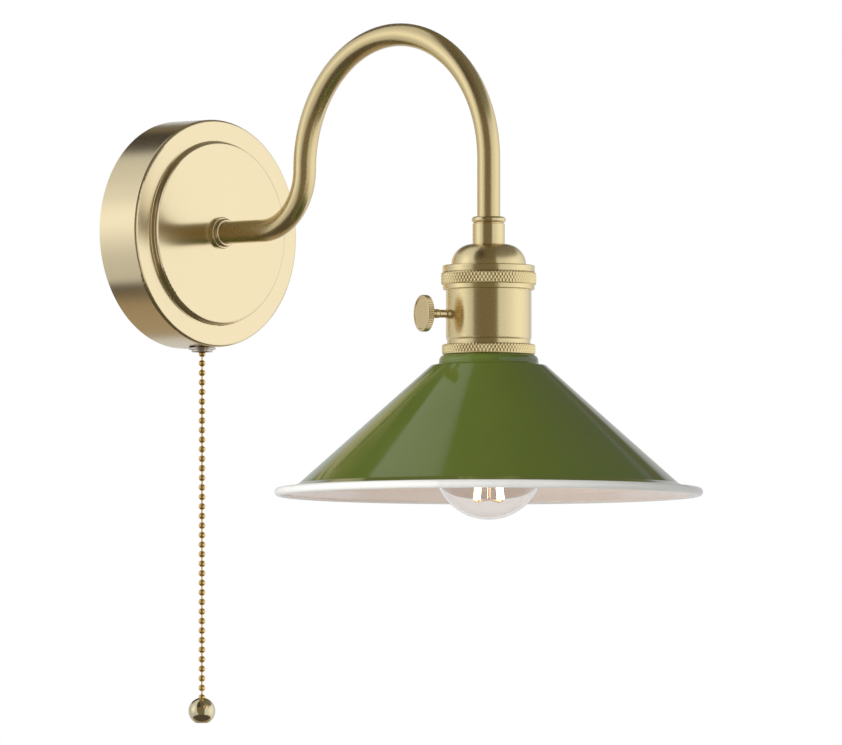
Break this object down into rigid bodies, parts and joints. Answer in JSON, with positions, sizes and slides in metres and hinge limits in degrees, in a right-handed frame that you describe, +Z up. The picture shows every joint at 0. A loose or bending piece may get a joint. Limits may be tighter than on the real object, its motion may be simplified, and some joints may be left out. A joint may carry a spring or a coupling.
{
  "type": "wall light",
  "caption": "Gooseneck wall light: brass drum wall plate with a pull-chain switch, bent arm, lampholder with turn knob, cone enamel shade and screw-in filament bulb.",
  "frame": {"origin": "middle of the wall plate, on the wall", "axes": "+Y into the wall, -Y out of the wall towards the shade, +X right as seen from the room, +Z up"},
  "size_m": [0.1856, 0.2828, 0.3025],
  "materials": {
    "satin_brass": "satin brushed brass",
    "antique_brass": "polished, darkened brass",
    "chain_brass": "polished brass",
    "nickel": "polished nickel plate",
    "zinc_steel": "bright zinc plate",
    "contact_brass": "bare brass",
    "white_plastic": "satin",
    "black_plastic": "satin",
    "brown_wire": "insulation",
    "fibre_liner": "vulcanised fibre",
    "ceramic": "glazed ceramic",
    "olive_enamel": "gloss enamel, olive outside and white inside",
    "bulb_cap_metal": "nickel-plated brass",
    "black_glass": "black glass insulator",
    "clear_glass": "clear",
    "filament": "phosphor-coated LED strip",
    "lead_wire": "bright wire",
    "driver_board": "circuit board"
  },
  "bodies": {
    "fixture": {"arm_collar": "satin_brass", "arm_lock_washer": "nickel", "arm_locknut": "nickel", "arm_tube": "satin_brass", "block_screw": "zinc_steel", "canopy": "satin_brass", "canopy_screws": "zinc_steel", "canopy_wires": "brown_wire", "centre_contact": "contact_brass", "earth_screw": "zinc_steel", "earth_washer": "zinc_steel", "holder_cap": "satin_brass", "holder_locknut": "nickel", "holder_wires": "brown_wire", "key_bush": "satin_brass", "key_leaf": "contact_brass", "lamp_flex": "black_plastic", "neck_ring": "satin_brass", "neck_sleeve": "satin_brass", "screw_shell": "contact_brass", "shade": "olive_enamel", "shade_inner_ring": "satin_brass", "shade_ring": "satin_brass", "socket_core": "ceramic", "socket_liner": "fibre_liner", "socket_shell": "satin_brass", "socket_terminal_screws": "zinc_steel", "socket_terminals": "contact_brass", "spool_axle": "zinc_steel", "spool_spring": "zinc_steel", "switch_case": "black_plastic", "switch_contacts": "contact_brass", "switch_cover": "black_plastic", "switch_nozzle": "nickel", "switch_ring_nut": "nickel", "switch_rivets": "zinc_steel", "switch_wires": "brown_wire", "terminal_block": "white_plastic", "terminal_screws": "zinc_steel", "terminal_tubes": "contact_brass", "union_ring": "satin_brass", "wall_bracket": "zinc_steel"},
    "chain_slider": {"chain_lead": "chain_brass"},
    "spool": {"pull_spool": "white_plastic"},
    "chain_top": {"chain_top_bead": "chain_brass"},
    "chain": {"chain_beads": "chain_brass", "chain_links": "chain_brass", "ball_pull": "antique_brass"},
    "key": {"turn_knob": "satin_brass", "key_spindle": "zinc_steel", "key_cam": "white_plastic"},
    "bulb_foot": {"bulb_contact": "bulb_cap_metal"},
    "bulb": {"bulb_screw_cap": "bulb_cap_metal", "bulb_cap_skirt": "bulb_cap_metal", "bulb_insulator": "black_glass", "bulb_glass": "clear_glass", "bulb_stem": "clear_glass", "bulb_filaments": "filament", "bulb_support_wires": "lead_wire", "bulb_driver": "driver_board"}
  },
  "joints": [
    {"name": "chain_pull", "type": "slide", "parent": "fixture", "child": "chain_slider", "axis": [0, 0, -1], "range_m": [0, 0.005], "stiffness_N_per_m": 300, "springref_m": -0.002},
    {"name": "spool_turn", "type": "hinge", "parent": "fixture", "child": "spool", "pos_m": [-0.00325, -0.0134, -0.0364], "axis": [0, 1, 0], "range_deg": [-1, 90]},
    {"name": "chain_swing_out", "type": "hinge", "parent": "chain_slider", "child": "chain_top", "pos_m": [0, -0.0134, -0.0528], "axis": [-1, 0, 0], "range_deg": [-2.4, 35]},
    {"name": "chain_swing_side", "type": "hinge", "parent": "chain_top", "child": "chain", "pos_m": [0, -0.0134, -0.0528], "axis": [0, -1, 0], "range_deg": [-35, 35]},
    {"name": "key_turn", "type": "hinge", "parent": "fixture", "child": "key", "pos_m": [0, -0.19, -0.0418], "axis": [-0.9397, 0.342, 0], "continuous": true},
    {"name": "bulb_unscrew", "type": "hinge", "parent": "bulb_foot", "child": "bulb", "pos_m": [0, -0.19, -0.10655], "axis": [0, 0, -1], "range_deg": [0, 1440]},
    {"name": "bulb_down", "type": "slide", "parent": "fixture", "child": "bulb_foot", "axis": [0, 0, -1], "range_m": [0, 0.01462]}
  ],
  "couplings": [
    {"joint": "spool_turn", "follows": "chain_pull", "rad_per_m": 307.69},
    {"joint": "bulb_down", "follows": "bulb_unscrew", "m_per_rad": 0.00057757}
  ]
}
